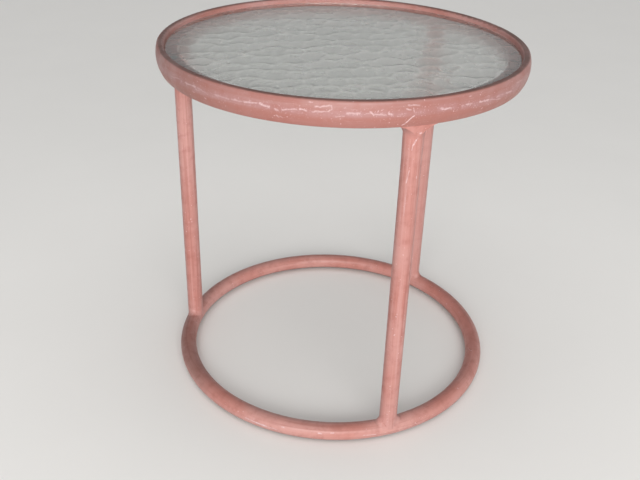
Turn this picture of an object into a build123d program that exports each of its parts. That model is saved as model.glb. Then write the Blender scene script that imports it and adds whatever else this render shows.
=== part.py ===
"""Round patio end table: a welded frame of rolled tube with a lift-out glass top.

A rolled hollow section makes the top hoop, with a raised lip and a step inside it for the glass.
Three upright tubes stand on a round tube ring that rests on the ground. Millimetres, +Z up, the
table's axis on Z, the ground at z = 0, the front leg at -Y.
"""

import os
from math import cos, radians, sin, sqrt

from build123d import *

# ---------------------------------------------------------------- driving dimensions
table_height = 457.0

# top hoop (rolled hollow section)
hoop_widest_r = 228.6  # crown of the convex outer face
hoop_top_outer_r = 226.4
hoop_bottom_outer_r = 223.6
hoop_inner_r = 202.0
hoop_height = 30.0
hoop_crown_drop = 14.5  # from the top down to the crown
hoop_wall = 1.8
lip_inner_r = 218.4
seat_drop = 12.0  # from the top of the lip down to the step the glass lies over
lip_edge_r = 3.0
bottom_edge_r = 2.3
small_edge_r = 1.0

# glass
glass_r = 217.2
glass_thick = 5.0
glass_arris = 0.8

# pads under the glass
pad_r = 5.0
pad_thick = 0.9
pad_circle_r = 210.5
pad_count = 6

# tubes
tube_r = 11.1
tube_wall = 1.5
tube_circle_r = 211.6  # centreline of the ground ring and of the legs
leg_azimuths = {"leg_front": -90.0, "leg_right_rear": 30.0, "leg_left_rear": 150.0}
cope_start = 14.6  # the cope's thin tips are cut off below this height
press_length = 40.0  # the top of each leg is pressed a little oval over this length
press_wide_r = 12.2  # half width along the hoop at the very top, and across it
press_narrow_r = 10.0

# welds
top_weld_out = 9.0  # the top weld's reach along the hoop, and down the leg's two sides
top_weld_down = 8.5
top_collar_out = 13.0  # the rounded collar that limits the same weld all round the leg
top_collar_down = 15.0
foot_weld_out = 8.0  # the foot weld's reach along the ring, and up the leg
foot_weld_up = 10.2
seam_gap = 1.6  # between the two ends of a rolled hoop, filled by its seam weld
hoop_seam_azimuth = 90.0
ring_seam_azimuth = 210.0
bead_r = 2.6
bead_proud = 0.6

# joiners inside the two seams
key_length = 64.0
key_wall = 2.0
key_side_gap = 0.4
sleeve_length = 60.0
sleeve_wall = 1.5
sleeve_gap = 0.15

# ---------------------------------------------------------------- derived sizes
hoop_under_z = table_height - hoop_height
seat_z = table_height - seat_drop
glass_under_z = seat_z + pad_thick
hoop_gap_deg = seam_gap / tube_circle_r * 57.29578
ring_gap_deg = seam_gap / tube_circle_r * 57.29578


def radial_plane(azimuth):
    """The upright plane through the table's axis at this azimuth: local x outwards, local y up."""
    a = radians(azimuth)
    return Plane(origin=(0, 0, 0), x_dir=(cos(a), sin(a), 0), z_dir=(sin(a), -cos(a), 0))


def hoop_outline():
    """The hoop section's outer outline, as a face on its own."""
    with BuildSketch() as outline:
        with BuildLine():
            Polyline(
                (hoop_top_outer_r, table_height),
                (lip_inner_r, table_height),
                (lip_inner_r, seat_z),
                (hoop_inner_r, seat_z),
                (hoop_inner_r, hoop_under_z),
                (hoop_bottom_outer_r, hoop_under_z),
            )
            ThreePointArc(
                (hoop_bottom_outer_r, hoop_under_z),
                (hoop_widest_r, table_height - hoop_crown_drop),
                (hoop_top_outer_r, table_height),
            )
        make_face()
        for radius, height, edge_r in (
            (hoop_bottom_outer_r, hoop_under_z, bottom_edge_r),
            (hoop_top_outer_r, table_height, lip_edge_r),
            (lip_inner_r, table_height, lip_edge_r),
            (hoop_inner_r, hoop_under_z, small_edge_r),
            (hoop_inner_r, seat_z, small_edge_r),
        ):
            corner = outline.vertices().sort_by_distance((radius, height))[0]
            fillet(corner, edge_r)
    return outline.sketch


def hoop_hollow():
    """The hollow inside the hoop section."""
    with BuildSketch() as hollow:
        add(hoop_outline())
        offset(amount=-hoop_wall, kind=Kind.ARC, mode=Mode.REPLACE)
    return hollow.sketch


outline_face = hoop_outline()
hollow_face = hoop_hollow()

# ---------------------------------------------------------------- top hoop
with BuildPart() as top_hoop:
    with BuildSketch(radial_plane(hoop_seam_azimuth + hoop_gap_deg / 2)):
        add(outline_face)
        add(hollow_face, mode=Mode.SUBTRACT)
    revolve(axis=Axis.Z, revolution_arc=360.0 - hoop_gap_deg)

# Its two ends are joined by one weld: it fills the gap and stands a little proud underneath and
# inside, where it isn't ground off.
with BuildPart() as hoop_seam_weld:
    with BuildSketch(radial_plane(hoop_seam_azimuth - hoop_gap_deg / 2)):
        add(outline_face)
        add(hollow_face, mode=Mode.SUBTRACT)
    revolve(axis=Axis.Z, revolution_arc=hoop_gap_deg)
    a = radians(hoop_seam_azimuth)
    under_mid_r = (hoop_inner_r + hoop_bottom_outer_r) / 2
    under_axis = Plane(
        origin=(under_mid_r * cos(a), under_mid_r * sin(a), hoop_under_z + bead_r - bead_proud),
        x_dir=(0, 0, 1),
        z_dir=(cos(a), sin(a), 0),
    )
    with BuildSketch(under_axis):
        Circle(bead_r)
    extrude(amount=(hoop_bottom_outer_r - hoop_inner_r) / 2 - bottom_edge_r, both=True)
    with BuildSketch(
        Plane(
            origin=(
                (hoop_inner_r + bead_r - bead_proud) * cos(a),
                (hoop_inner_r + bead_r - bead_proud) * sin(a),
                hoop_under_z + 1.5,
            ),
            x_dir=(cos(a), sin(a), 0),
            z_dir=(0, 0, 1),
        )
    ):
        Circle(bead_r)
    extrude(amount=hoop_height - seat_drop - 3.0)
    add(top_hoop.part, mode=Mode.SUBTRACT)
    with BuildSketch(radial_plane(hoop_seam_azimuth - 3.0)):
        add(hollow_face)
    revolve(axis=Axis.Z, revolution_arc=6.0, mode=Mode.SUBTRACT)

# Joiner across that seam: a rolled channel lying on the floor of the hollow.
key_deg = key_length / tube_circle_r * 57.29578
key_floor_z = hoop_under_z + hoop_wall
key_top_z = seat_z - hoop_wall - key_side_gap
key_in_r = hoop_inner_r + hoop_wall + key_side_gap
key_out_r = hoop_bottom_outer_r - hoop_wall - 1.2
with BuildPart() as hoop_splice_key:
    with BuildSketch(radial_plane(hoop_seam_azimuth - key_deg / 2)):
        with Locations(((key_in_r + key_out_r) / 2, (key_floor_z + key_top_z) / 2)):
            Rectangle(key_out_r - key_in_r, key_top_z - key_floor_z)
        with Locations(((key_in_r + key_out_r) / 2, (key_floor_z + key_top_z) / 2 + key_wall)):
            Rectangle(
                key_out_r - key_in_r - 2 * key_wall,
                key_top_z - key_floor_z,
                mode=Mode.SUBTRACT,
            )
    revolve(axis=Axis.Z, revolution_arc=key_deg)

# ---------------------------------------------------------------- ground ring
with BuildPart() as base_ring_tube:
    with BuildSketch(radial_plane(ring_seam_azimuth + ring_gap_deg / 2)):
        with Locations((tube_circle_r, tube_r)):
            Circle(tube_r)
            Circle(tube_r - tube_wall, mode=Mode.SUBTRACT)
    revolve(axis=Axis.Z, revolution_arc=360.0 - ring_gap_deg)

# The ring's seam weld is dressed flush outside and bites down to the sleeve inside.
with BuildPart() as base_ring_seam_weld:
    with BuildSketch(radial_plane(ring_seam_azimuth - ring_gap_deg / 2)):
        with Locations((tube_circle_r, tube_r)):
            Circle(tube_r)
            Circle(tube_r - tube_wall - sleeve_gap, mode=Mode.SUBTRACT)
    revolve(axis=Axis.Z, revolution_arc=ring_gap_deg)

sleeve_deg = sleeve_length / tube_circle_r * 57.29578
with BuildPart() as base_ring_splice_sleeve:
    with BuildSketch(radial_plane(ring_seam_azimuth - sleeve_deg / 2)):
        with Locations((tube_circle_r, tube_r)):
            Circle(tube_r - tube_wall - sleeve_gap)
            Circle(tube_r - tube_wall - sleeve_gap - sleeve_wall, mode=Mode.SUBTRACT)
    revolve(axis=Axis.Z, revolution_arc=sleeve_deg)

# Solid torus used to cut the copes and the foot welds to the ring's surface.
with BuildPart() as ring_cutter:
    with BuildSketch(radial_plane(0)):
        with Locations((tube_circle_r, tube_r)):
            Circle(tube_r)
    revolve(axis=Axis.Z, revolution_arc=360.0)

# ---------------------------------------------------------------- front leg, then the two others
leg_centre = (0.0, -tube_circle_r)
press_start_z = hoop_under_z - press_length


def leg_outline(shrink):
    """The leg as a full bar: round, then pressed oval towards its top; shrink makes its bore."""
    with BuildPart() as bar:
        with BuildSketch(Plane.XY.offset(cope_start)):
            with Locations(leg_centre):
                Circle(tube_r - shrink)
        extrude(amount=press_start_z - cope_start)
        with BuildSketch(Plane.XY.offset(press_start_z)):
            with Locations(leg_centre):
                Circle(tube_r - shrink)
        with BuildSketch(Plane.XY.offset(hoop_under_z)):
            with Locations(leg_centre):
                Ellipse(press_wide_r - shrink, press_narrow_r - shrink)
        loft()
    return bar.part


leg_bar = leg_outline(0.0)
leg_bore = leg_outline(tube_wall)

with BuildPart() as leg_front:
    add(leg_bar)
    add(leg_bore, mode=Mode.SUBTRACT)
    add(ring_cutter.part, mode=Mode.SUBTRACT)

# Solid hoop, with no hollow, used to cut the top welds to its surface.
with BuildPart() as hoop_cutter:
    with BuildSketch(radial_plane(0)):
        add(outline_face)
    revolve(axis=Axis.Z, revolution_arc=360.0)

# Top weld: two hollow flanks as wide as the hoop, rounded off by a collar about the leg. It also
# fills the hoop's rounded lower edges, so the leg's front runs up flush into the hoop.
weld_root = press_narrow_r - 1.0
weld_plane = Plane(origin=(0, -tube_circle_r, 0), x_dir=(1, 0, 0), z_dir=(0, -1, 0))
with BuildPart() as leg_front_top_weld:
    with BuildSketch(weld_plane):
        with BuildLine():
            Polyline(
                (tube_r, hoop_under_z - top_collar_down),
                (weld_root, hoop_under_z - top_collar_down),
                (weld_root, hoop_under_z + bottom_edge_r),
                (tube_r + top_collar_out, hoop_under_z + bottom_edge_r),
                (tube_r + top_collar_out, hoop_under_z),
            )
            ThreePointArc(
                (tube_r + top_collar_out, hoop_under_z),
                (tube_r + 0.34 * top_collar_out, hoop_under_z - 0.30 * top_collar_down),
                (tube_r, hoop_under_z - top_collar_down),
            )
        make_face()
    revolve(axis=Axis((0, -tube_circle_r, 0), (0, 0, 1)), revolution_arc=360.0)
    with BuildSketch(weld_plane):
        with BuildLine():
            side = press_wide_r + 0.2
            low = hoop_under_z - top_collar_down - 2
            Polyline(
                (side, hoop_under_z - top_weld_down),
                (side, low),
                (-side, low),
                (-side, hoop_under_z - top_weld_down),
            )
            ThreePointArc(
                (-side, hoop_under_z - top_weld_down),
                (-side - 0.31 * top_weld_out, hoop_under_z - 0.31 * top_weld_down),
                (-side - top_weld_out, hoop_under_z),
            )
            Polyline(
                (-side - top_weld_out, hoop_under_z),
                (-side - 0.8 * top_weld_out, hoop_under_z + bottom_edge_r),
                (side + 0.8 * top_weld_out, hoop_under_z + bottom_edge_r),
                (side + top_weld_out, hoop_under_z),
            )
            ThreePointArc(
                (side + top_weld_out, hoop_under_z),
                (side + 0.31 * top_weld_out, hoop_under_z - 0.31 * top_weld_down),
                (side, hoop_under_z - top_weld_down),
            )
        make_face()
    extrude(amount=2 * tube_r, both=True, mode=Mode.INTERSECT)
    with BuildSketch(Plane.XY.offset(hoop_under_z - top_collar_down - 5)):
        Circle(hoop_bottom_outer_r - 0.3)
        Circle(hoop_inner_r - 0.7, mode=Mode.SUBTRACT)
    extrude(amount=top_collar_down + 15, mode=Mode.INTERSECT)
    add(leg_bar, mode=Mode.SUBTRACT)
    add(hoop_cutter.part, mode=Mode.SUBTRACT)

# Foot weld: in the two crotches between the leg and the ring, full at mid-width and running out
# to nothing where both tubes share their sides.
def crotch_section(side, across):
    """The weld's section at this distance across the ring, as corner points (along, up)."""
    half = sqrt(tube_r**2 - across**2)
    share = 0.30 + 0.70 * (1.0 - (across / tube_r) ** 2)
    reach_out, reach_up = share * foot_weld_out, share * foot_weld_up
    root = (half - 1.2, tube_r + half - 1.2)
    up = (half - 0.25, tube_r + half + reach_up)
    hollow = (half + 0.30 * reach_out, tube_r + half + 0.30 * reach_up)
    out = (half + reach_out, tube_r + half - 0.25)
    return [(side * p[0], p[1]) for p in (root, up, hollow, out)]


def crotch_weld(side):
    """One crotch's weld before it is cut to the tubes."""
    with BuildPart() as crotch:
        for across in (-9.6, -7.6, -4.2, 0.0, 4.2, 7.6, 9.6):
            place = Plane(
                origin=(0, -tube_circle_r + across, 0), x_dir=(1, 0, 0), z_dir=(0, -1, 0)
            )
            root, up, hollow, out = crotch_section(side, across)
            with BuildSketch(place):
                with BuildLine():
                    Polyline(out, root, up)
                    ThreePointArc(up, hollow, out)
                make_face()
        loft()
    return crotch.part


crotch_a = crotch_weld(1.0)
crotch_b = crotch_weld(-1.0)
with BuildPart() as leg_front_foot_weld:
    add(crotch_a)
    add(crotch_b)
    add(leg_bar, mode=Mode.SUBTRACT)
    add(ring_cutter.part, mode=Mode.SUBTRACT)

# The two rear legs and their welds are the front ones turned about the table's axis.
right_turn = (0, 0, leg_azimuths["leg_right_rear"] - leg_azimuths["leg_front"])
left_turn = (0, 0, leg_azimuths["leg_left_rear"] - leg_azimuths["leg_front"])

with BuildPart() as leg_right_rear:
    add(leg_front.part, rotation=right_turn)
with BuildPart() as leg_right_rear_top_weld:
    add(leg_front_top_weld.part, rotation=right_turn)
with BuildPart() as leg_right_rear_foot_weld:
    add(leg_front_foot_weld.part, rotation=right_turn)

with BuildPart() as leg_left_rear:
    add(leg_front.part, rotation=left_turn)
with BuildPart() as leg_left_rear_top_weld:
    add(leg_front_top_weld.part, rotation=left_turn)
with BuildPart() as leg_left_rear_foot_weld:
    add(leg_front_foot_weld.part, rotation=left_turn)

# ---------------------------------------------------------------- pads and glass
with BuildPart() as glass_rest_pads:
    with BuildSketch(Plane.XY.offset(seat_z)):
        with PolarLocations(pad_circle_r, pad_count, start_angle=0.0):
            Circle(pad_r)
    extrude(amount=pad_thick)
    chamfer(glass_rest_pads.edges().filter_by(GeomType.CIRCLE).group_by(Axis.Z)[-1], 0.25)

with BuildPart() as glass_panel:
    with BuildSketch(Plane.XY.offset(glass_under_z)):
        Circle(glass_r)
    extrude(amount=glass_thick)
    chamfer(glass_panel.edges().filter_by(GeomType.CIRCLE), glass_arris)

# ---------------------------------------------------------------- write every piece
os.makedirs("parts", exist_ok=True)

top_hoop.part.label = "top_hoop"
export_step(top_hoop.part, "parts/top_hoop.step")

hoop_seam_weld.part.label = "hoop_seam_weld"
export_step(hoop_seam_weld.part, "parts/hoop_seam_weld.step")

hoop_splice_key.part.label = "hoop_splice_key"
export_step(hoop_splice_key.part, "parts/hoop_splice_key.step")

leg_front.part.label = "leg_front"
export_step(leg_front.part, "parts/leg_front.step")

leg_right_rear.part.label = "leg_right_rear"
export_step(leg_right_rear.part, "parts/leg_right_rear.step")

leg_left_rear.part.label = "leg_left_rear"
export_step(leg_left_rear.part, "parts/leg_left_rear.step")

leg_front_top_weld.part.label = "leg_front_top_weld"
export_step(leg_front_top_weld.part, "parts/leg_front_top_weld.step")

leg_right_rear_top_weld.part.label = "leg_right_rear_top_weld"
export_step(leg_right_rear_top_weld.part, "parts/leg_right_rear_top_weld.step")

leg_left_rear_top_weld.part.label = "leg_left_rear_top_weld"
export_step(leg_left_rear_top_weld.part, "parts/leg_left_rear_top_weld.step")

leg_front_foot_weld.part.label = "leg_front_foot_weld"
export_step(leg_front_foot_weld.part, "parts/leg_front_foot_weld.step")

leg_right_rear_foot_weld.part.label = "leg_right_rear_foot_weld"
export_step(leg_right_rear_foot_weld.part, "parts/leg_right_rear_foot_weld.step")

leg_left_rear_foot_weld.part.label = "leg_left_rear_foot_weld"
export_step(leg_left_rear_foot_weld.part, "parts/leg_left_rear_foot_weld.step")

base_ring_tube.part.label = "base_ring_tube"
export_step(base_ring_tube.part, "parts/base_ring_tube.step")

base_ring_seam_weld.part.label = "base_ring_seam_weld"
export_step(base_ring_seam_weld.part, "parts/base_ring_seam_weld.step")

base_ring_splice_sleeve.part.label = "base_ring_splice_sleeve"
export_step(base_ring_splice_sleeve.part, "parts/base_ring_splice_sleeve.step")

glass_rest_pads.part.label = "glass_rest_pads"
export_step(glass_rest_pads.part, "parts/glass_rest_pads.step")

glass_panel.part.label = "glass_panel"
export_step(glass_panel.part, "parts/glass_panel.step")
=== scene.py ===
import math

import bpy
import numpy as np
from mathutils import Matrix, Vector


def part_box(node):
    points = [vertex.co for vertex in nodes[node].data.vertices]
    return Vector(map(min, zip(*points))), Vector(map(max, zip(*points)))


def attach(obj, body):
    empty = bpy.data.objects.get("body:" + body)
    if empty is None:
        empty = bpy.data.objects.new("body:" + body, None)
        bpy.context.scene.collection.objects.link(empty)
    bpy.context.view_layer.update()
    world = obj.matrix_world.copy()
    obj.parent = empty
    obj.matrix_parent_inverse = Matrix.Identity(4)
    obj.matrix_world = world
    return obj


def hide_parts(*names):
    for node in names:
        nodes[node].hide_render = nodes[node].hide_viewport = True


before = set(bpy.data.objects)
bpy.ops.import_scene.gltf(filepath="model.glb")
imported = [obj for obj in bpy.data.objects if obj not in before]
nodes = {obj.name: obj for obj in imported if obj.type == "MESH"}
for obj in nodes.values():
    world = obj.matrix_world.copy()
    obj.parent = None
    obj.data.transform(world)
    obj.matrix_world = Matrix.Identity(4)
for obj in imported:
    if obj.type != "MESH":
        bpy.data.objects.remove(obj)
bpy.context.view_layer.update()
scene = bpy.context.scene

# ------------------------------------------------------------------ sizes read from the frame
glass_lo, glass_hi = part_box("glass_panel")
hoop_lo, hoop_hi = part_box("top_hoop")
ring_lo, ring_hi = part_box("base_ring_tube")
leg_lo, leg_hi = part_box("leg_front")
TOP = hoop_hi.z
HOOP_R = hoop_hi.x
GLASS_R = glass_hi.x
TUBE_R = (ring_hi.z - ring_lo.z) / 2
RING_R = ring_hi.x - TUBE_R
CROWN_Z = TOP - 0.0145


# ------------------------------------------------------------------ small helpers for node trees
class Tree:
    """Short calls for building one material's nodes."""

    def __init__(self, name):
        self.mat = bpy.data.materials.new(name)
        self.mat.use_nodes = True
        self.nt = self.mat.node_tree
        self.nt.nodes.clear()
        self.out = self.nt.nodes.new("ShaderNodeOutputMaterial")
        self.coord = self.nt.nodes.new("ShaderNodeTexCoord")
        self.p = self.coord.outputs["Object"]
        self._xyz = None

    def put(self, socket, value):
        if isinstance(value, bpy.types.NodeSocket):
            self.nt.links.new(value, socket)
        elif isinstance(value, (tuple, list)) and len(value) == 3 and len(socket.default_value) == 4:
            socket.default_value = (*value, 1.0)
        else:
            socket.default_value = value

    def math(self, op, a, b=None, c=None, clamp=False):
        n = self.nt.nodes.new("ShaderNodeMath")
        n.operation, n.use_clamp = op, clamp
        for i, v in enumerate((a, b, c)):
            if v is not None:
                self.put(n.inputs[i], v)
        return n.outputs[0]

    def add(self, a, b): return self.math("ADD", a, b)
    def sub(self, a, b): return self.math("SUBTRACT", a, b)
    def mul(self, a, b, clamp=False): return self.math("MULTIPLY", a, b, clamp=clamp)
    def maxi(self, a, b): return self.math("MAXIMUM", a, b)
    def mini(self, a, b): return self.math("MINIMUM", a, b)
    def absv(self, a): return self.math("ABSOLUTE", a)

    def ramp(self, v, lo, hi, out_lo=0.0, out_hi=1.0, smooth=True):
        n = self.nt.nodes.new("ShaderNodeMapRange")
        n.interpolation_type = "SMOOTHSTEP" if smooth else "LINEAR"
        n.clamp = True
        for key, val in (("Value", v), ("From Min", lo), ("From Max", hi), ("To Min", out_lo), ("To Max", out_hi)):
            self.put(n.inputs[key], val)
        return n.outputs[0]

    def xyz(self):
        if self._xyz is None:
            n = self.nt.nodes.new("ShaderNodeSeparateXYZ")
            self.nt.links.new(self.p, n.inputs[0])
            self._xyz = (n.outputs[0], n.outputs[1], n.outputs[2])
        return self._xyz

    def radius(self):
        x, y, _ = self.xyz()
        return self.math("SQRT", self.add(self.mul(x, x), self.mul(y, y)))

    def vec(self, x, y, z):
        n = self.nt.nodes.new("ShaderNodeCombineXYZ")
        for i, v in enumerate((x, y, z)):
            self.put(n.inputs[i], v)
        return n.outputs[0]

    def scaled(self, sx, sy, sz, off=(0.0, 0.0, 0.0)):
        n = self.nt.nodes.new("ShaderNodeMapping")
        self.nt.links.new(self.p, n.inputs["Vector"])
        n.inputs["Scale"].default_value = (sx, sy, sz)
        n.inputs["Location"].default_value = off
        return n.outputs[0]

    def noise(self, vector, scale=1.0, detail=2.0, rough=0.5, w=None, distort=0.0):
        n = self.nt.nodes.new("ShaderNodeTexNoise")
        n.noise_dimensions = "4D" if w is not None else "3D"
        self.put(n.inputs["Vector"], vector)
        n.inputs["Scale"].default_value = scale
        n.inputs["Detail"].default_value = detail
        n.inputs["Roughness"].default_value = rough
        n.inputs["Distortion"].default_value = distort
        if w is not None:
            self.put(n.inputs["W"], w)
        return n.outputs[0]

    def mix(self, fac, a, b, kind="MIX"):
        n = self.nt.nodes.new("ShaderNodeMix")
        n.data_type, n.blend_type, n.clamp_factor = "RGBA", kind, True
        self.put(n.inputs[0], fac)
        self.put(n.inputs[6], a)
        self.put(n.inputs[7], b)
        return n.outputs[2]

    def bump(self, height, strength, distance, normal=None):
        n = self.nt.nodes.new("ShaderNodeBump")
        n.inputs["Strength"].default_value = strength
        n.inputs["Distance"].default_value = distance
        self.put(n.inputs["Height"], height)
        if normal is not None:
            self.put(n.inputs["Normal"], normal)
        return n.outputs[0]

    def principled(self, **values):
        n = self.nt.nodes.new("ShaderNodeBsdfPrincipled")
        for key, val in values.items():
            self.put(n.inputs[key.replace("_", " ")], val)
        return n

    def finish(self, shader):
        self.nt.links.new(shader, self.out.inputs["Surface"])
        return self.mat


CORAL = (0.635, 0.262, 0.220)
CORAL_DEEP = (0.47, 0.162, 0.128)
CORAL_CHALK = (0.725, 0.370, 0.330)
# painted light and shade: a lighter copy of the coral for the base ring and a darker copy for the hoop
RING_CORAL_LIT = (0.670, 0.272, 0.226)
RING_CHALK_LIT = (0.760, 0.390, 0.345)
HOOP_CORAL_SHADED = (0.500, 0.222, 0.190)
HOOP_CHALK_SHADED = (0.575, 0.310, 0.285)
SCUFF = (0.88, 0.62, 0.62)
# painted shade colour: the darkening on faces that look up, on the left side and at the floor
SHADE_BROWN = (0.105, 0.066, 0.050)


# Scrapes on the rim's outer face, in mm: distance round the rim (0 over the front leg, positive
# toward +X) and height at one end, the same at the other end, half width, strength.
TRAILS = (
    (
        (-306.5, 443.5, -285.3, 446.3, 0.55, 0.45),
        (-274.9, 445.1, -255.1, 445.6, 0.7, 0.85),
        (-253.0, 445.4, -237.0, 443.1, 0.5, 0.45),
        (-225.2, 444.3, -205.9, 444.2, 0.5, 0.45),
        (-203.1, 444.6, -189.5, 444.5, 0.6, 0.6),
        (-188.0, 444.5, -171.5, 446.1, 0.7, 0.85),
        (-170.0, 446.1, -157.8, 444.4, 1.1, 1.0),
    ),
    (
        (-153.4, 442.9, -148.5, 441.9, 0.8, 0.8),
        (-145.5, 443.1, -129.0, 445.8, 0.6, 0.8),
        (-127.2, 446.1, -119.0, 445.4, 0.8, 0.95),
        (-114.5, 445.0, -99.8, 445.4, 0.55, 0.7),
        (-90.8, 441.2, -80.9, 441.7, 0.5, 0.5),
        (-79.6, 444.7, -65.4, 445.3, 0.7, 0.8),
        (-60.4, 445.0, -39.0, 443.2, 0.55, 0.7),
        (-37.8, 444.6, -31.9, 442.9, 0.9, 0.95),
    ),
    (
        (-28.0, 441.3, -24.0, 440.9, 0.5, 0.6),
        (19.8, 444.5, 33.7, 444.1, 1.0, 1.0),
        (45.7, 444.9, 49.5, 445.1, 0.7, 0.7),
        (51.4, 445.2, 60.2, 444.7, 0.6, 0.7),
        (71.0, 444.2, 87.1, 443.5, 0.8, 0.95),
        (88.5, 443.3, 109.5, 439.5, 0.5, 0.5),
        (118.2, 443.1, 133.1, 442.7, 0.8, 0.8),
        (143.0, 449.0, 160.7, 447.7, 0.6, 0.5),
    ),
    (
        (-262.0, 438.9, -258.0, 438.4, 0.7, 0.5),
        (-242.8, 436.7, -239.7, 435.9, 0.8, 0.8),
        (-151.7, 436.4, -148.6, 434.8, 0.8, 0.7),
        (-147.4, 435.9, -144.3, 434.6, 0.6, 0.6),
        (-117.8, 454.0, -113.0, 454.0, 0.6, 0.6),
        (-111.5, 449.6, -94.8, 452.1, 0.6, 0.75),
        (-17.3, 452.3, -3.5, 451.0, 0.6, 0.65),
        (56.0, 452.6, 59.8, 452.7, 0.6, 0.6),
    ),
)
SCRAPES = (
    (-94.8, 452.1, -94.0, 448.7, 0.5, 0.75),
    (-94.0, 448.7, -98.8, 445.5, 0.5, 0.75),
    (-55.2, 446.7, -52.3, 442.7, 0.6, 0.9),
    (-20.8, 430.0, -9.6, 440.6, 0.5, 1.25),
    (-18.2, 448.8, -14.2, 447.1, 0.6, 0.75),
    (-11.1, 448.3, -10.1, 444.7, 0.5, 0.6),
)
LEG_SCRAPES = (
    (-4.6, 404.8, -1.5, 411.0, 0.6, 1.2),
    (-5.2, 399.5, -4.9, 404.0, 0.35, 0.6),
    (1.3, 418.3, 2.8, 418.9, 0.6, 1.0),
    (-1.8, 409.5, -0.2, 413.5, 0.35, 0.6),
    (-5.9, 377.2, -7.7, 361.3, 0.30, 0.9),
    (2.4, 369.5, 2.6, 367.0, 0.45, 0.7),
    (-7.5, 345.0, -7.4, 322.0, 0.20, 0.35),
)


def vmath(t, op, a, b=None, scale=None):
    n = t.nt.nodes.new("ShaderNodeVectorMath")
    n.operation = op
    t.put(n.inputs[0], a)
    if b is not None:
        t.put(n.inputs[1], b)
    if scale is not None:
        t.put(n.inputs["Scale"], scale)
    return n.outputs["Value"] if op in ("DOT_PRODUCT", "LENGTH", "DISTANCE") else n.outputs["Vector"]


def scrape_mask(t, flat, table, broken):
    """Strokes from a table, in the flat (along, height) coordinates given, crumbled by a noise."""
    total = None
    for u0, v0, u1, v1, half, strength in table:
        u0, v0, u1, v1 = u0 / 1000, v0 / 1000, u1 / 1000, v1 / 1000
        du, dv = u1 - u0, v1 - v0
        length2 = du * du + dv * dv
        rel = vmath(t, "SUBTRACT", flat, (u0, v0, 0.0))
        along = t.mul(vmath(t, "DOT_PRODUCT", rel, (du / length2, dv / length2, 0.0)), 1.0, clamp=True)
        near = vmath(t, "SCALE", (du, dv, 0.0), scale=along)
        dist = vmath(t, "DISTANCE", rel, near)
        stroke = t.ramp(dist, half * 0.45e-3, half * 1.9e-3, strength, 0.0)
        total = stroke if total is None else t.maxi(total, stroke)
    return t.mul(total, broken, clamp=True)


RING_SCRAPES = (
    (-194.0, 12.6, -177.0, 11.6, 0.6, 0.9),
    (-177.0, 11.6, -163.0, 11.2, 1.0, 1.3),
    (-163.0, 11.2, -148.0, 10.6, 0.5, 0.8),
    (-36.0, 12.0, -20.0, 10.6, 0.5, 0.8),
    (-142.0, 15.8, -138.5, 16.1, 0.7, 0.9),
    (-94.0, 15.6, -90.0, 15.4, 0.7, 0.9),
    (-78.0, 16.4, -74.5, 16.7, 0.6, 0.7),
)


TRAIL_LOW, TRAIL_SPAN = 0.430, 0.026


def trail_mask(t, around, height, strokes):
    """One chain of strokes, held in a colour ramp: strength in red, height in green, half width in blue."""
    first, last = strokes[0][0] - 4.0, strokes[-1][2] + 4.0
    ramp = t.nt.nodes.new("ShaderNodeValToRGB")
    ramp.color_ramp.interpolation = "LINEAR"
    stops = []
    for a0, z0, a1, z1, half, strength in strokes:
        g0, g1 = (z0 / 1000 - TRAIL_LOW) / TRAIL_SPAN, (z1 / 1000 - TRAIL_LOW) / TRAIL_SPAN
        stops.append((a0 - 0.3, (0.0, g0, half / 2)))
        stops.append((a0 + 0.5, (strength, g0, half / 2)))
        stops.append((a1 - 0.5, (strength * 0.8, g1, half / 2)))
        stops.append((a1 + 0.3, (0.0, g1, half / 2)))
    while len(ramp.color_ramp.elements) > 1:
        ramp.color_ramp.elements.remove(ramp.color_ramp.elements[-1])
    for k, (where, value) in enumerate(stops):
        at = (where - first) / (last - first)
        e = ramp.color_ramp.elements[0] if k == 0 else ramp.color_ramp.elements.new(at)
        e.position = at
        e.color = (*value, 1.0)
    t.put(ramp.inputs[0], t.ramp(around, first / 1000, last / 1000, smooth=False))
    parts = t.nt.nodes.new("ShaderNodeSeparateColor")
    t.nt.links.new(ramp.outputs[0], parts.inputs[0])
    line = t.add(t.mul(parts.outputs[1], TRAIL_SPAN), TRAIL_LOW)
    off = t.absv(t.sub(height, line))
    half = t.mul(parts.outputs[2], 0.002)
    return t.mul(t.ramp(off, t.mul(half, 0.45), t.mul(half, 1.9), 1.0, 0.0), parts.outputs[0])


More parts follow.
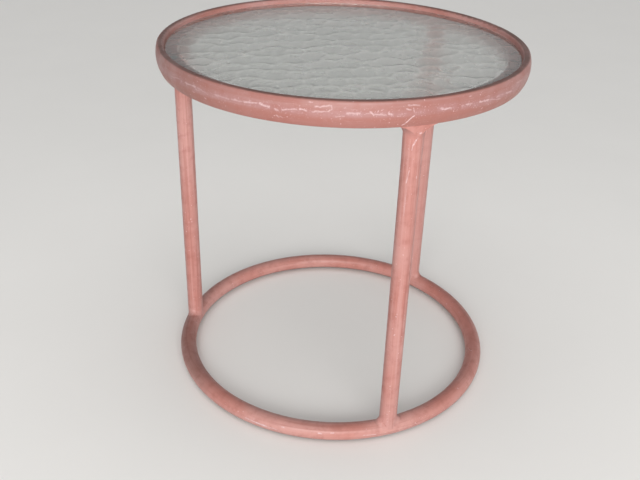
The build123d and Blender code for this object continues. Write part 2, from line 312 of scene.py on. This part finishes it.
def coral(name, kind):
    """Aged powder coat. kind says how its streaks and scuffs run: hoop, leg, ring or weld."""
    t = Tree(name)
    x, y, z = t.xyz()
    r = t.radius()
    # broad fading and fine mottling
    broad = t.noise(t.scaled(9, 9, 9, (3.1, 1.7, 0.4)), 1.0, 3.0, 0.55)
    fine = t.noise(t.scaled(85, 85, 85), 1.0, 3.0, 0.6)
    # painted shade and light: the hoop takes a darker copy of the coral, for the less light it gets, and the base
    # ring a lighter copy, for the more light it gets
    base, chalk = {"hoop": (HOOP_CORAL_SHADED, HOOP_CHALK_SHADED), "ring": (RING_CORAL_LIT, RING_CHALK_LIT)}.get(kind, (CORAL, CORAL_CHALK))
    colour = t.mix(t.ramp(broad, 0.35, 0.68), base, chalk)
    colour = t.mix(t.ramp(fine, 0.42, 0.75, 0.0, 0.42), colour, CORAL_DEEP)
    if kind == "leg":
        streak = t.noise(t.scaled(330, 330, 5.5), 1.0, 3.0, 0.55)
        hair = t.noise(t.scaled(1150, 1150, 13.0, (0.3, 0.9, 0.1)), 1.0, 2.0, 0.6)
        patch = t.noise(t.scaled(60, 60, 14.0), 1.0, 2.0, 0.5)
    elif kind == "ring":
        streak = t.noise(t.vec(t.mul(x, 7.0), t.mul(y, 7.0), t.mul(z, 260.0)), 1.0, 3.0, 0.55, w=t.mul(r, 260.0))
        hair = t.noise(t.vec(t.mul(x, 22.0), t.mul(y, 22.0), t.mul(z, 900.0)), 1.0, 2.0, 0.6, w=t.mul(r, 900.0))
        patch = t.noise(t.scaled(16, 16, 60), 1.0, 2.0, 0.5)
    elif kind == "hoop":
        streak = t.noise(t.vec(t.mul(x, 8.0), t.mul(y, 8.0), t.mul(z, 300.0)), 1.0, 3.0, 0.55)
        hair = t.noise(t.vec(t.mul(x, 34.0), t.mul(y, 34.0), t.mul(z, 1300.0)), 1.0, 2.0, 0.6)
        patch = t.noise(t.scaled(26, 26, 60), 1.0, 2.0, 0.5)
    else:
        streak = t.noise(t.scaled(160, 160, 160), 1.0, 2.0, 0.5)
        hair = t.noise(t.scaled(500, 500, 500), 1.0, 2.0, 0.5)
        patch = t.noise(t.scaled(40, 40, 40), 1.0, 2.0, 0.5)
    colour = t.mix(t.ramp(streak, 0.52, 0.70, 0.0, 0.75 if kind == "leg" else 0.45), colour, chalk)
    colour = t.mix(t.ramp(streak, 0.48, 0.30, 0.0, 0.50 if kind == "leg" else 0.38), colour, CORAL_DEEP)
    if kind == "leg":
        # painted light: the rear leg, at +X, is mixed toward the chalkier coral so it reads lighter
        colour = t.mix(t.ramp(x, 0.08, 0.12, 0.0, 0.42), colour, chalk)
    elif kind == "hoop":
        colour = t.mix(t.ramp(z, TOP - 0.0130, TOP - 0.0210, 0.0, 0.60), colour, (0.520, 0.200, 0.160))
    # hairline wear that shows the paler primer
    wear = t.mul(t.ramp(hair, 0.63, 0.74), t.ramp(patch, 0.50, 0.66))
    # pinhead nicks
    dots = t.noise(t.scaled(420, 420, 420, (0.2, 0.5, 0.7)), 1.0, 1.0, 0.5)
    nick = t.mul(t.ramp(dots, 0.715, 0.765), t.ramp(patch, 0.38, 0.54))
    wear = t.maxi(t.mul(wear, 0.55), t.mul(nick, 0.95))
    if kind == "hoop":
        # scrapes where the crown of the outer face has been knocked, and a faint broken trail between them
        around = t.mul(t.math("ARCTAN2", x, t.mul(y, -1.0)), HOOP_R)
        jog = t.noise(t.vec(t.mul(x, 190.0), t.mul(y, 190.0), t.mul(z, 190.0)), 1.0, 2.0, 0.6)
        height = t.add(z, t.mul(t.sub(jog, 0.5), 0.0032))
        crumble = t.noise(t.vec(t.mul(x, 520.0), t.mul(y, 520.0), t.mul(z, 900.0)), 1.0, 2.0, 0.6)
        outer = t.ramp(r, 0.2240, 0.2250)
        broken = t.ramp(crumble, 0.36, 0.56, 0.30, 1.0)
        drawn = scrape_mask(t, t.vec(around, height, 0.0), SCRAPES, broken)
        for chain in TRAILS:
            drawn = t.maxi(drawn, t.mul(trail_mask(t, around, height, chain), broken, clamp=True))
        wander = t.noise(t.vec(t.mul(x, 17.0), t.mul(y, 17.0), 0.0), 1.0, 2.0, 0.5)
        line_z = t.add(CROWN_Z + 0.0014, t.mul(t.sub(wander, 0.5), 0.0085))
        off = t.absv(t.sub(z, line_z))
        gaps = t.noise(t.vec(t.mul(x, 62.0), t.mul(y, 62.0), 3.0), 1.0, 3.0, 0.6)
        trail = t.mul(t.ramp(off, 0.0003, 0.0016, 1.0, 0.0), t.ramp(gaps, 0.50, 0.64, 0.0, 0.8))
        trail = t.mul(trail, t.ramp(crumble, 0.46, 0.60))
        bruise = t.mul(t.ramp(off, 0.0010, 0.0062, 1.0, 0.0), t.ramp(gaps, 0.36, 0.66, 0.10, 0.34))
        peck = t.noise(t.scaled(760, 760, 760, (0.9, 0.1, 0.3)), 1.0, 1.0, 0.5)
        pecks = t.mul(t.ramp(peck, 0.66, 0.74), t.ramp(off, 0.0030, 0.0095, 0.75, 0.12))
        wear = t.maxi(wear, t.mul(t.maxi(t.maxi(drawn, trail), pecks), outer))
        colour = t.mix(t.mul(bruise, outer), colour, (0.66, 0.40, 0.42))
    if kind == "ring":
        around = t.mul(t.math("ARCTAN2", x, t.mul(y, -1.0)), RING_R + TUBE_R)
        grit = t.noise(t.vec(t.mul(x, 260.0), t.mul(y, 260.0), t.mul(z, 700.0)), 1.0, 2.0, 0.6)
        drawn = scrape_mask(t, t.vec(around, z, 0.0), RING_SCRAPES, t.ramp(grit, 0.38, 0.56, 0.25, 1.0))
        wear = t.maxi(wear, t.mul(drawn, t.ramp(r, RING_R + 0.004, RING_R + 0.007)))
    if kind in ("leg", "weld"):
        grit = t.noise(t.scaled(700, 700, 500), 1.0, 2.0, 0.6)
        drawn = scrape_mask(t, t.vec(x, z, 0.0), LEG_SCRAPES, t.ramp(grit, 0.38, 0.55, 0.35, 1.0))
        wear = t.maxi(wear, t.mul(drawn, t.ramp(y, -0.217, -0.213, 1.0, 0.0)))
    colour = t.mix(wear, colour, SCUFF)
    # painted shade: darker on what faces up, on the left side of the hoop and the ring, and low down where the ring
    # meets the floor
    geo = t.nt.nodes.new("ShaderNodeNewGeometry")
    nsep = t.nt.nodes.new("ShaderNodeSeparateXYZ")
    t.nt.links.new(geo.outputs["Normal"], nsep.inputs[0])
    up = t.ramp(nsep.outputs[2], 0.55, 0.97)
    shade_mottle = t.noise(t.scaled(30, 30, 30), 1.0, 3.0, 0.6)
    if kind == "hoop":
        painted_shade = t.mul(up, t.ramp(shade_mottle, 0.3, 0.7, 0.42, 0.64))
        painted_shade = t.mul(painted_shade, t.ramp(z, TOP - 0.0085, TOP - 0.0045, 0.12, 1.0))
        # painted shade on the hoop's left side
        painted_shade = t.maxi(painted_shade, t.mul(t.ramp(x, -0.165, -0.222), t.ramp(shade_mottle, 0.3, 0.7, 0.10, 0.22)))
    elif kind == "ring":
        painted_shade = t.mul(up, t.ramp(shade_mottle, 0.3, 0.7, 0.02, 0.12))
        # painted shade on the ring's left part, deepest on what faces up
        left = t.mul(t.ramp(x, -0.165, -0.205), t.ramp(y, -0.110, -0.030))
        painted_shade = t.maxi(painted_shade, t.mul(left, t.ramp(nsep.outputs[2], -0.3, 0.6, 0.06, 0.44)))
    else:
        painted_shade = t.mul(up, 0.2)
    # painted contact shadow: darker over the lowest 6.6 mm, where the ring meets the floor
    low = t.ramp(z, 0.0008, 0.0066, 0.68, 0.0)
    colour = t.mix(t.maxi(painted_shade, low), colour, SHADE_BROWN)
    rough = t.add(t.ramp(fine, 0.3, 0.7, 0.36, 0.50), t.mul(wear, 0.18))
    rough = t.add(rough, t.mul(painted_shade, 0.25))
    peel = t.noise(t.scaled(620, 620, 620), 1.0, 2.0, 0.5)
    height = t.add(t.mul(peel, 0.5), t.mul(wear, -0.6))
    normal = t.bump(height, 0.16, 0.0004)
    shader = t.principled(Base_Color=colour, Roughness=rough, Normal=normal)
    shader.inputs["Specular IOR Level"].default_value = 0.45
    shader.inputs["Coat Weight"].default_value = 0.10
    shader.inputs["Coat Roughness"].default_value = 0.22
    return t.finish(shader.outputs[0])


def bare_metal(name):
    t = Tree(name)
    grain = t.noise(t.scaled(900, 900, 30), 1.0, 2.0, 0.5)
    colour = t.mix(t.ramp(grain, 0.3, 0.7), (0.60, 0.60, 0.61), (0.74, 0.74, 0.75))
    shader = t.principled(
        Base_Color=colour, Roughness=t.ramp(grain, 0.3, 0.7, 0.32, 0.5), Normal=t.bump(grain, 0.1, 0.0003)
    )
    shader.inputs["Metallic"].default_value = 1.0
    return t.finish(shader.outputs[0])


def clear_vinyl(name):
    t = Tree(name)
    haze = t.noise(t.scaled(500, 500, 500), 1.0, 2.0, 0.5)
    shader = t.principled(
        Base_Color=t.mix(haze, (0.86, 0.87, 0.85), (0.93, 0.94, 0.92)),
        Roughness=t.ramp(haze, 0.3, 0.7, 0.18, 0.34),
        Normal=t.bump(haze, 0.1, 0.0002),
    )
    shader.inputs["Transmission Weight"].default_value = 0.8
    shader.inputs["IOR"].default_value = 1.5
    return t.finish(shader.outputs[0])


relief_depth = 0.00050


def patterned_glass(name):
    """Clear smooth face on top; the pillowed underside scatters part of the light. Its scatter colour carries a
    painted highlight toward each dish's lapped edge, and the scatter fades out near the rim as painted shade.
    """
    t = Tree(name)
    x, y, z = t.xyz()
    under = t.ramp(z, glass_lo.z + 0.0020, glass_lo.z + 0.0030, 1.0, 0.0, smooth=False)
    film = t.noise(t.scaled(11, 11, 11), 1.0, 4.0, 0.6)
    specks = t.noise(t.scaled(230, 230, 230), 1.0, 2.0, 0.5)
    rough_top = t.add(t.ramp(film, 0.35, 0.75, 0.015, 0.06), t.ramp(specks, 0.70, 0.80, 0.0, 0.10))
    rough = t.add(rough_top, t.mul(under, 0.24))
    shader = t.principled(
        Base_Color=t.mix(t.ramp(film, 0.3, 0.7), (0.850, 0.875, 0.855), (0.880, 0.900, 0.882)),
        Roughness=rough,
    )
    shader.inputs["Transmission Weight"].default_value = 1.0
    shader.inputs["IOR"].default_value = 1.5
    clear = t.nt.nodes.new("ShaderNodeBsdfTransparent")
    clear.inputs["Color"].default_value = (0.88, 0.905, 0.89, 1.0)
    path = t.nt.nodes.new("ShaderNodeLightPath")
    mix = t.nt.nodes.new("ShaderNodeMixShader")
    t.nt.links.new(path.outputs["Is Shadow Ray"], mix.inputs[0])
    t.nt.links.new(shader.outputs[0], mix.inputs[1])
    t.nt.links.new(clear.outputs[0], mix.inputs[2])
    frost = t.nt.nodes.new("ShaderNodeBsdfDiffuse")
    # painted highlight: the scatter colour runs from dark in each dish's hollow to light at its lapped edge, standing
    # in for the bright crescents the dishes reflect
    pressed = t.ramp(z, glass_lo.z + 0.38 * relief_depth, glass_lo.z + 0.92 * relief_depth)
    tone = t.mix(pressed, (0.47, 0.485, 0.47), (0.87, 0.88, 0.86))
    t.put(frost.inputs["Color"], tone)
    glow = t.nt.nodes.new("ShaderNodeBsdfTranslucent")
    t.put(glow.inputs["Color"], tone)
    scatter = t.nt.nodes.new("ShaderNodeMixShader")
    scatter.inputs[0].default_value = 0.5
    t.nt.links.new(frost.outputs[0], scatter.inputs[1])
    t.nt.links.new(glow.outputs[0], scatter.inputs[2])
    milky = t.nt.nodes.new("ShaderNodeMixShader")
    # painted shade: the scatter thins over the outer 5 mm of the underside, where the hoop's seat and walls keep
    # light from it
    veil = t.mul(under, t.ramp(t.radius(), 0.1990, 0.2040, 0.36, 0.03))
    t.put(milky.inputs[0], t.add(veil, t.ramp(specks, 0.66, 0.78, 0.010, 0.10)))
    t.nt.links.new(mix.outputs[0], milky.inputs[1])
    t.nt.links.new(scatter.outputs[0], milky.inputs[2])
    return t.finish(milky.outputs[0])


mat_hoop = coral("coral_hoop", "hoop")
mat_leg = coral("coral_leg", "leg")
mat_ring = coral("coral_ring", "ring")
mat_weld = coral("coral_weld", "weld")
mat_bare = bare_metal("bare_joiner")
mat_pad = clear_vinyl("clear_pad")
mat_glass = patterned_glass("patterned_glass")


def dress(node, mat):
    o = nodes[node]
    o.data.materials.clear()
    o.data.materials.append(mat)
    return o


for name in nodes:
    if name in ("top_hoop", "hoop_seam_weld"):
        dress(name, mat_hoop)
    elif name in ("base_ring_tube", "base_ring_seam_weld"):
        dress(name, mat_ring)
    elif name.endswith("_weld"):
        dress(name, mat_weld)
    elif name.startswith("leg_"):
        dress(name, mat_leg)
    elif name in ("hoop_splice_key", "base_ring_splice_sleeve"):
        dress(name, mat_bare)
    elif name == "glass_rest_pads":
        dress(name, mat_pad)


# ------------------------------------------------------------------ the patterned glass
def disc_points(n):
    """An n by n grid of quads carried onto the unit disc, so its edge is an even circle."""
    g = np.linspace(-1.0, 1.0, n + 1)
    u, v = np.meshgrid(g, g, indexing="ij")
    big = np.where(np.abs(u) > np.abs(v), u, v)
    small = np.where(np.abs(u) > np.abs(v), v, u)
    safe = np.where(np.abs(big) < 1e-12, 1.0, big)
    phi = (math.pi / 4) * small / safe
    px = np.where(np.abs(u) > np.abs(v), big * np.cos(phi), big * np.sin(phi))
    py = np.where(np.abs(u) > np.abs(v), big * np.sin(phi), big * np.cos(phi))
    return px, py


def scallops(px, py, seed, pitch_u, pitch_v, radius, angle, lip):
    """Overlapping shallow dishes in staggered rows; each dish laps over the row behind it.

    Rows run across the direction given by angle. The result is 0 in the middle of a dish and
    rises to 1 at its lapped edge, where the step down to the next dish is eased over the last part
    of the radius.
    """
    rng = np.random.default_rng(seed)
    c, s = math.cos(angle), math.sin(angle)
    qu, qv = c * px + s * py, -s * px + c * py
    half_u, half_v = int(0.24 / pitch_u) + 3, int(0.24 / pitch_v) + 3
    jitter = rng.uniform(-1.0, 1.0, (2 * half_u + 1, 2 * half_v + 1, 4))
    height = np.full_like(px, 0.45)
    for b in range(half_v, -half_v - 1, -1):
        for a in range(-half_u, half_u + 1):
            j = jitter[a + half_u, b + half_v]
            cu = (a + 0.5 * (b % 2) + 0.24 * j[0]) * pitch_u
            cv = (b + 0.32 * j[1]) * pitch_v
            r = radius * (1.0 + 0.12 * j[2])
            lean = 0.25 * j[3]
            du, dv = (qu - cu) / r, (qv - cv) / (r * 1.12)
            d = np.hypot(du + lean * dv * 0.4, dv)
            cover = np.clip((1.0 - d) / lip, 0.0, 1.0)
            cover = cover * cover * (3 - 2 * cover)
            far = np.clip((dv + 0.45) / 1.05, 0.0, 1.0)
            far = 0.30 + 0.70 * far * far * (3 - 2 * far)
            height = height * (1 - cover) + np.minimum(d, 1.0) ** 2.6 * far * cover
    return height


GRID = 250
px, py = disc_points(GRID)
arris = 0.0008
R_in = GLASS_R - arris
ux, uy = px * R_in, py * R_in
# shallow lapped dishes pressed into the underside, with a little finer ripple
dish = scallops(ux, uy, 11, 0.0252, 0.0280, 0.0225, math.radians(-6.5), 0.26)
fine_dish = scallops(ux, uy, 29, 0.0100, 0.0105, 0.0078, math.radians(24.0), 0.3)
relief = dish + 0.10 * fine_dish
relief = relief / relief.max()
edge_fade = np.clip((R_in - np.hypot(ux, uy)) / 0.004, 0.0, 1.0)
under = glass_lo.z + relief_depth * relief * edge_fade

verts, faces = [], []
n1 = GRID + 1


def add_grid(z, flip):
    start = len(verts)
    for i in range(n1):
        for j in range(n1):
            verts.append((float(ux[i, j]), float(uy[i, j]), float(z[i, j])))
    for i in range(GRID):
        for j in range(GRID):
            q = [start + i * n1 + j, start + (i + 1) * n1 + j, start + (i + 1) * n1 + j + 1, start + i * n1 + j + 1]
            faces.append(q[::-1] if flip else q)
    return start


top_z = np.full_like(ux, glass_hi.z)
top_start = add_grid(top_z, False)
under_start = add_grid(under, True)
rim_ij = (
    [(i, 0) for i in range(GRID)]
    + [(GRID, j) for j in range(GRID)]
    + [(i, GRID) for i in range(GRID, 0, -1)]
    + [(0, j) for j in range(GRID, 0, -1)]
)
rim_top = [top_start + i * n1 + j for i, j in rim_ij]
rim_under = [under_start + i * n1 + j for i, j in rim_ij]


def ring_of(radius, z):
    start = len(verts)
    for i, j in rim_ij:
        k = radius / math.hypot(px[i, j], py[i, j])
        verts.append((float(px[i, j] * k), float(py[i, j] * k), z))
    return list(range(start, start + len(rim_ij)))


loops = [rim_top]
for turn in (0.33, 0.66, 1.0):
    a = turn * math.pi / 2
    loops.append(ring_of(R_in + arris * math.sin(a), glass_hi.z - arris * (1 - math.cos(a))))
for turn in (1.0, 0.66, 0.33):
    a = turn * math.pi / 2
    loops.append(ring_of(R_in + arris * math.sin(a), glass_lo.z + arris * (1 - math.cos(a))))
loops.append(rim_under)
count = len(rim_ij)
for a, b in zip(loops, loops[1:]):
    for k in range(count):
        faces.append([a[k], b[k], b[(k + 1) % count], a[(k + 1) % count]])

mesh = bpy.data.meshes.new("glass_top")
mesh.from_pydata(verts, [], faces)
mesh.validate()
mesh.polygons.foreach_set("use_smooth", [True] * len(mesh.polygons))
mesh.update()
glass = bpy.data.objects.new("glass_top", mesh)
scene.collection.objects.link(glass)
import bmesh
bm = bmesh.new()
bm.from_mesh(mesh)
bmesh.ops.recalc_face_normals(bm, faces=bm.faces)
bm.to_mesh(mesh)
bm.free()
mesh.materials.append(mat_glass)
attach(glass, "glass")
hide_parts("glass_panel")

# ------------------------------------------------------------------ floor, light, camera
floor_mesh = bpy.data.meshes.new("floor")
S = 14.0
floor_mesh.from_pydata([(-S, -S, 0), (S, -S, 0), (S, S, 0), (-S, S, 0)], [], [(0, 1, 2, 3)])
floor = bpy.data.objects.new("floor", floor_mesh)
scene.collection.objects.link(floor)
ft = Tree("pale_floor")
speck = ft.noise(ft.scaled(5, 5, 5), 1.0, 4.0, 0.5)
fs = ft.principled(Base_Color=ft.mix(speck, (0.80, 0.79, 0.77), (0.83, 0.82, 0.80)), Roughness=0.75)
fs.inputs["Specular IOR Level"].default_value = 0.2
floor_mesh.materials.append(ft.finish(fs.outputs[0]))
floor.visible_diffuse = False

world = bpy.data.worlds.new("studio")
scene.world = world
world.use_nodes = True
wn = world.node_tree
wn.nodes.clear()
wout = wn.nodes.new("ShaderNodeOutputWorld")
wbg = wn.nodes.new("ShaderNodeBackground")
wco = wn.nodes.new("ShaderNodeTexCoord")
wse = wn.nodes.new("ShaderNodeSeparateXYZ")
wn.links.new(wco.outputs["Generated"], wse.inputs[0])


def wmath(op, p, q):
    n = wn.nodes.new("ShaderNodeMath")
    n.operation = op
    for i, v in enumerate((p, q)):
        if isinstance(v, bpy.types.NodeSocket):
            wn.links.new(v, n.inputs[i])
        else:
            n.inputs[i].default_value = v
    return n.outputs[0]


def wramp(v, lo, hi, out_lo, out_hi):
    n = wn.nodes.new("ShaderNodeMapRange")
    n.interpolation_type = "SMOOTHSTEP"
    wn.links.new(v, n.inputs["Value"])
    for key, val in (("From Min", lo), ("From Max", hi), ("To Min", out_lo), ("To Max", out_hi)):
        n.inputs[key].default_value = val
    return n.outputs[0]


# bright low all round, dim overhead, and a pale backdrop that stands higher on the far side
BACK = math.radians(68.5)
toward_back = wmath(
    "ADD", wmath("MULTIPLY", wse.outputs[0], math.cos(BACK)), wmath("MULTIPLY", wse.outputs[1], math.sin(BACK))
)
low_glow = wramp(wse.outputs[2], 0.02, 0.60, 0.58, 0.13)
below = wramp(wse.outputs[2], -0.02, 0.02, 0.0, 1.0)
drop = wmath("MULTIPLY", wramp(toward_back, 0.25, 0.75, 0.0, 1.0), wramp(wse.outputs[2], 0.40, 0.70, 0.44, 0.0))
above = wmath("MULTIPLY", wmath("MAXIMUM", low_glow, drop), below)
ground = wmath("MULTIPLY", wmath("SUBTRACT", 1.0, below), wramp(toward_back, -0.8, 0.4, 0.42, 0.20))
sides = wmath("MULTIPLY", wramp(wse.outputs[0], 0.35, 0.95, 0.0, 0.40), wramp(wse.outputs[2], 0.05, 0.75, 1.0, 0.0))
sides = wmath("MULTIPLY", sides, below)
wn.links.new(wmath("ADD", wmath("ADD", above, ground), sides), wbg.inputs["Strength"])
wbg.inputs["Color"].default_value = (0.975, 0.985, 1.0, 1.0)
wn.links.new(wbg.outputs[0], wout.inputs["Surface"])


def softbox(name, place, target, width, height, power, colour):
    """A soft rectangular panel that faces its target."""
    data = bpy.data.lights.new(name, "AREA")
    data.shape = "RECTANGLE"
    data.size, data.size_y, data.energy, data.color = width, height, power, colour
    o = bpy.data.objects.new(name, data)
    o.location = place
    o.rotation_euler = (Vector(target) - Vector(place)).to_track_quat("-Z", "Y").to_euler()
    scene.collection.objects.link(o)
    return o


def feather(light, edge):
    """Let a panel's light fade toward its edges, so its reflection has no hard outline."""
    light.data.use_nodes = True
    nt = light.data.node_tree
    emit = next(n for n in nt.nodes if n.type == "EMISSION")
    geo = nt.nodes.new("ShaderNodeNewGeometry")
    sep = nt.nodes.new("ShaderNodeSeparateXYZ")
    nt.links.new(geo.outputs["Parametric"], sep.inputs[0])
    fades = []
    for k in (0, 1):
        centre = nt.nodes.new("ShaderNodeMath")
        centre.operation = "SUBTRACT"
        nt.links.new(sep.outputs[k], centre.inputs[0])
        centre.inputs[1].default_value = 0.5
        size = nt.nodes.new("ShaderNodeMath")
        size.operation = "ABSOLUTE"
        nt.links.new(centre.outputs[0], size.inputs[0])
        fade = nt.nodes.new("ShaderNodeMapRange")
        fade.interpolation_type = "SMOOTHSTEP"
        nt.links.new(size.outputs[0], fade.inputs["Value"])
        for key, val in (("From Min", 0.5 - edge), ("From Max", 0.5), ("To Min", 1.0), ("To Max", 0.0)):
            fade.inputs[key].default_value = val
        fades.append(fade.outputs[0])
    both = nt.nodes.new("ShaderNodeMath")
    both.operation = "MULTIPLY"
    nt.links.new(fades[0], both.inputs[0])
    nt.links.new(fades[1], both.inputs[1])
    nt.links.new(both.outputs[0], emit.inputs["Strength"])


KEY = math.radians(-108.0)
key = softbox(
    "key",
    (3.0 * math.cos(KEY), 3.0 * math.sin(KEY), 1.30),
    (0.0, 0.0, 0.20),
    4.6,
    1.7,
    200.0,
    (1.0, 0.985, 0.97),
)
feather(key, 0.36)
# a wide overhead light that reaches only the floor, so it stays evenly pale under a dim sky
overhead_data = bpy.data.lights.new("floor_light", "SUN")
overhead_data.energy, overhead_data.angle, overhead_data.color = 1.40, math.radians(85.0), (1.0, 0.995, 0.985)
overhead = bpy.data.objects.new("floor_light", overhead_data)
overhead.location = (0.0, 0.0, 4.0)
scene.collection.objects.link(overhead)
lit = bpy.data.collections.new("floor_only")
lit.objects.link(floor)
overhead.light_linking.receiver_collection = lit

# The camera, from the solved view: millimetre offsets in a frame turned 21.5 degrees about Z.
TURN = math.radians(-21.5)
YAW, PITCH, ROLL = -0.0212, 0.5127, -0.0321
turn = Matrix.Rotation(TURN, 3, "Z")
fwd = Vector((math.sin(YAW) * math.cos(PITCH), math.cos(YAW) * math.cos(PITCH), -math.sin(PITCH)))
right = Vector((math.cos(YAW), -math.sin(YAW), 0.0))
down = fwd.cross(right)
right2 = math.cos(ROLL) * right + math.sin(ROLL) * down
down2 = -math.sin(ROLL) * right + math.cos(ROLL) * down
cam_x, cam_y, cam_z = turn @ right2, -(turn @ down2), -(turn @ fwd)
cam_data = bpy.data.cameras.new("camera")
cam_data.sensor_width = 36.0
cam_data.lens = 799.4949 / 640.0 * 36.0
cam_data.clip_start, cam_data.clip_end = 0.01, 100.0
cam = bpy.data.objects.new("camera", cam_data)
place = turn @ Vector((0.0, -0.98212, 0.72391))
cam.matrix_world = Matrix(
    (
        (cam_x.x, cam_y.x, cam_z.x, place.x),
        (cam_x.y, cam_y.y, cam_z.y, place.y),
        (cam_x.z, cam_y.z, cam_z.z, place.z),
        (0, 0, 0, 1),
    )
)
scene.collection.objects.link(cam)
scene.camera = cam
scene.view_settings.view_transform = "Standard"
